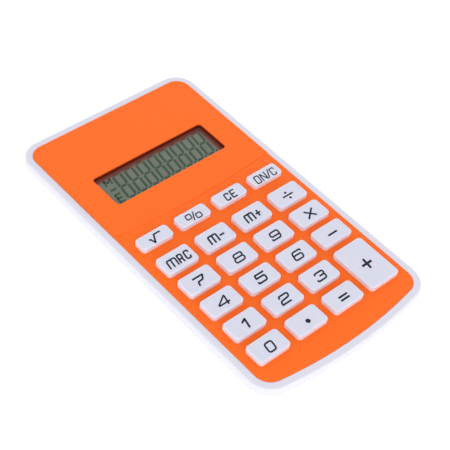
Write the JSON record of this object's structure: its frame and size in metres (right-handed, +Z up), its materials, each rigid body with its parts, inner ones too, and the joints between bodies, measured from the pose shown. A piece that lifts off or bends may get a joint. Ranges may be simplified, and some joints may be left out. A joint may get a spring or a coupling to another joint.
{
  "type": "desk calculator",
  "caption": "Slim desk calculator with a white tray case, an orange face plate, sprung push keys in a grid, a recessed number display and a screwed battery cover.",
  "frame": {"origin": "on the surface it stands on, under the middle of the body", "axes": "+X to the user's right, +Y from the keys towards the display, +Z up out of the keys"},
  "size_m": [0.0636, 0.112, 0.01],
  "materials": {
    "shell_plastic": "white moulded plastic with a soft sheen",
    "plate_plastic": "bright orange moulded plastic, satin",
    "key_plastic": "white moulded plastic, satin",
    "foot_rubber": "grey rubber",
    "screw_steel": "zinc-plated steel",
    "board_laminate": "phenolic paper laminate with solder mask",
    "carbon_ink": "printed carbon",
    "dome_rubber": "translucent silicone",
    "chip_resin": "black resin",
    "chip_ceramic": "fired ceramic with tinned ends",
    "frame_plastic": "black moulded plastic",
    "polarizer_film": "grey-green glossy film",
    "lcd_glass": "clear thin glass",
    "reflector_foil": "matt silvery film",
    "ribbon_film": "amber film",
    "cell_steel": "nickel-plated steel",
    "contact_bronze": "spring bronze, plated",
    "lead_black": "black insulation",
    "lead_red": "red insulation"
  },
  "bodies": {
    "housing": {"back_shell": "shell_plastic", "battery_cell": "cell_steel", "battery_contact_negative": "contact_bronze", "battery_contact_positive": "contact_bronze", "battery_lead_negative": "lead_black", "battery_lead_positive": "lead_red", "board_screws": "screw_steel", "carbon_pads": "carbon_ink", "case_screws": "screw_steel", "chip_blob": "chip_resin", "chip_parts": "chip_ceramic", "circuit_board": "board_laminate", "dome_sheet": "dome_rubber", "front_plate": "plate_plastic", "lcd_frame": "frame_plastic", "lcd_front_glass": "lcd_glass", "lcd_front_polarizer": "polarizer_film", "lcd_rear_glass": "lcd_glass", "lcd_reflector": "reflector_foil", "lcd_ribbon": "ribbon_film", "rubber_feet": "foot_rubber"},
    "battery_door": {"battery_cover": "shell_plastic", "battery_cover_screws": "screw_steel"},
    "key_0_cap": {"key_0": "key_plastic"},
    "key_1_cap": {"key_1": "key_plastic"},
    "key_2_cap": {"key_2": "key_plastic"},
    "key_3_cap": {"key_3": "key_plastic"},
    "key_4_cap": {"key_4": "key_plastic"},
    "key_5_cap": {"key_5": "key_plastic"},
    "key_6_cap": {"key_6": "key_plastic"},
    "key_7_cap": {"key_7": "key_plastic"},
    "key_8_cap": {"key_8": "key_plastic"},
    "key_9_cap": {"key_9": "key_plastic"},
    "key_ce_cap": {"key_ce": "key_plastic"},
    "key_divide_cap": {"key_divide": "key_plastic"},
    "key_equals_cap": {"key_equals": "key_plastic"},
    "key_m_minus_cap": {"key_m_minus": "key_plastic"},
    "key_m_plus_cap": {"key_m_plus": "key_plastic"},
    "key_minus_cap": {"key_minus": "key_plastic"},
    "key_mrc_cap": {"key_mrc": "key_plastic"},
    "key_multiply_cap": {"key_multiply": "key_plastic"},
    "key_on_c_cap": {"key_on_c": "key_plastic"},
    "key_percent_cap": {"key_percent": "key_plastic"},
    "key_plus_cap": {"key_plus": "key_plastic"},
    "key_point_cap": {"key_point": "key_plastic"},
    "key_sqrt_cap": {"key_sqrt": "key_plastic"}
  },
  "joints": [
    {"name": "key_0_press", "type": "slide", "parent": "housing", "child": "key_0_cap", "axis": [0, 0, -1], "range_m": [0, 0.0009], "stiffness_N_per_m": 400, "springref_m": -0.0005, "deforming": ["dome_sheet"]},
    {"name": "key_1_press", "type": "slide", "parent": "housing", "child": "key_1_cap", "axis": [0, 0, -1], "range_m": [0, 0.0009], "stiffness_N_per_m": 400, "springref_m": -0.0005, "deforming": ["dome_sheet"]},
    {"name": "key_2_press", "type": "slide", "parent": "housing", "child": "key_2_cap", "axis": [0, 0, -1], "range_m": [0, 0.0009], "stiffness_N_per_m": 400, "springref_m": -0.0005, "deforming": ["dome_sheet"]},
    {"name": "key_3_press", "type": "slide", "parent": "housing", "child": "key_3_cap", "axis": [0, 0, -1], "range_m": [0, 0.0009], "stiffness_N_per_m": 400, "springref_m": -0.0005, "deforming": ["dome_sheet"]},
    {"name": "key_4_press", "type": "slide", "parent": "housing", "child": "key_4_cap", "axis": [0, 0, -1], "range_m": [0, 0.0009], "stiffness_N_per_m": 400, "springref_m": -0.0005, "deforming": ["dome_sheet"]},
    {"name": "key_5_press", "type": "slide", "parent": "housing", "child": "key_5_cap", "axis": [0, 0, -1], "range_m": [0, 0.0009], "stiffness_N_per_m": 400, "springref_m": -0.0005, "deforming": ["dome_sheet"]},
    {"name": "key_6_press", "type": "slide", "parent": "housing", "child": "key_6_cap", "axis": [0, 0, -1], "range_m": [0, 0.0009], "stiffness_N_per_m": 400, "springref_m": -0.0005, "deforming": ["dome_sheet"]},
    {"name": "key_7_press", "type": "slide", "parent": "housing", "child": "key_7_cap", "axis": [0, 0, -1], "range_m": [0, 0.0009], "stiffness_N_per_m": 400, "springref_m": -0.0005, "deforming": ["dome_sheet"]},
    {"name": "key_8_press", "type": "slide", "parent": "housing", "child": "key_8_cap", "axis": [0, 0, -1], "range_m": [0, 0.0009], "stiffness_N_per_m": 400, "springref_m": -0.0005, "deforming": ["dome_sheet"]},
    {"name": "key_9_press", "type": "slide", "parent": "housing", "child": "key_9_cap", "axis": [0, 0, -1], "range_m": [0, 0.0009], "stiffness_N_per_m": 400, "springref_m": -0.0005, "deforming": ["dome_sheet"]},
    {"name": "key_ce_press", "type": "slide", "parent": "housing", "child": "key_ce_cap", "axis": [0, 0, -1], "range_m": [0, 0.0009], "stiffness_N_per_m": 400, "springref_m": -0.0005, "deforming": ["dome_sheet"]},
    {"name": "key_divide_press", "type": "slide", "parent": "housing", "child": "key_divide_cap", "axis": [0, 0, -1], "range_m": [0, 0.0009], "stiffness_N_per_m": 400, "springref_m": -0.0005, "deforming": ["dome_sheet"]},
    {"name": "key_equals_press", "type": "slide", "parent": "housing", "child": "key_equals_cap", "axis": [0, 0, -1], "range_m": [0, 0.0009], "stiffness_N_per_m": 400, "springref_m": -0.0005, "deforming": ["dome_sheet"]},
    {"name": "key_m_minus_press", "type": "slide", "parent": "housing", "child": "key_m_minus_cap", "axis": [0, 0, -1], "range_m": [0, 0.0009], "stiffness_N_per_m": 400, "springref_m": -0.0005, "deforming": ["dome_sheet"]},
    {"name": "key_m_plus_press", "type": "slide", "parent": "housing", "child": "key_m_plus_cap", "axis": [0, 0, -1], "range_m": [0, 0.0009], "stiffness_N_per_m": 400, "springref_m": -0.0005, "deforming": ["dome_sheet"]},
    {"name": "key_minus_press", "type": "slide", "parent": "housing", "child": "key_minus_cap", "axis": [0, 0, -1], "range_m": [0, 0.0009], "stiffness_N_per_m": 400, "springref_m": -0.0005, "deforming": ["dome_sheet"]},
    {"name": "key_mrc_press", "type": "slide", "parent": "housing", "child": "key_mrc_cap", "axis": [0, 0, -1], "range_m": [0, 0.0009], "stiffness_N_per_m": 400, "springref_m": -0.0005, "deforming": ["dome_sheet"]},
    {"name": "key_multiply_press", "type": "slide", "parent": "housing", "child": "key_multiply_cap", "axis": [0, 0, -1], "range_m": [0, 0.0009], "stiffness_N_per_m": 400, "springref_m": -0.0005, "deforming": ["dome_sheet"]},
    {"name": "key_on_c_press", "type": "slide", "parent": "housing", "child": "key_on_c_cap", "axis": [0, 0, -1], "range_m": [0, 0.0009], "stiffness_N_per_m": 400, "springref_m": -0.0005, "deforming": ["dome_sheet"]},
    {"name": "key_percent_press", "type": "slide", "parent": "housing", "child": "key_percent_cap", "axis": [0, 0, -1], "range_m": [0, 0.0009], "stiffness_N_per_m": 400, "springref_m": -0.0005, "deforming": ["dome_sheet"]},
    {"name": "key_plus_press", "type": "slide", "parent": "housing", "child": "key_plus_cap", "axis": [0, 0, -1], "range_m": [0, 0.0009], "stiffness_N_per_m": 400, "springref_m": -0.0005, "deforming": ["dome_sheet"]},
    {"name": "key_point_press", "type": "slide", "parent": "housing", "child": "key_point_cap", "axis": [0, 0, -1], "range_m": [0, 0.0009], "stiffness_N_per_m": 400, "springref_m": -0.0005, "deforming": ["dome_sheet"]},
    {"name": "key_sqrt_press", "type": "slide", "parent": "housing", "child": "key_sqrt_cap", "axis": [0, 0, -1], "range_m": [0, 0.0009], "stiffness_N_per_m": 400, "springref_m": -0.0005, "deforming": ["dome_sheet"]},
    {"name": "battery_cover_lift", "type": "slide", "parent": "housing", "child": "battery_door", "axis": [0, 0, -1], "range_m": [0, 0.012]}
  ]
}
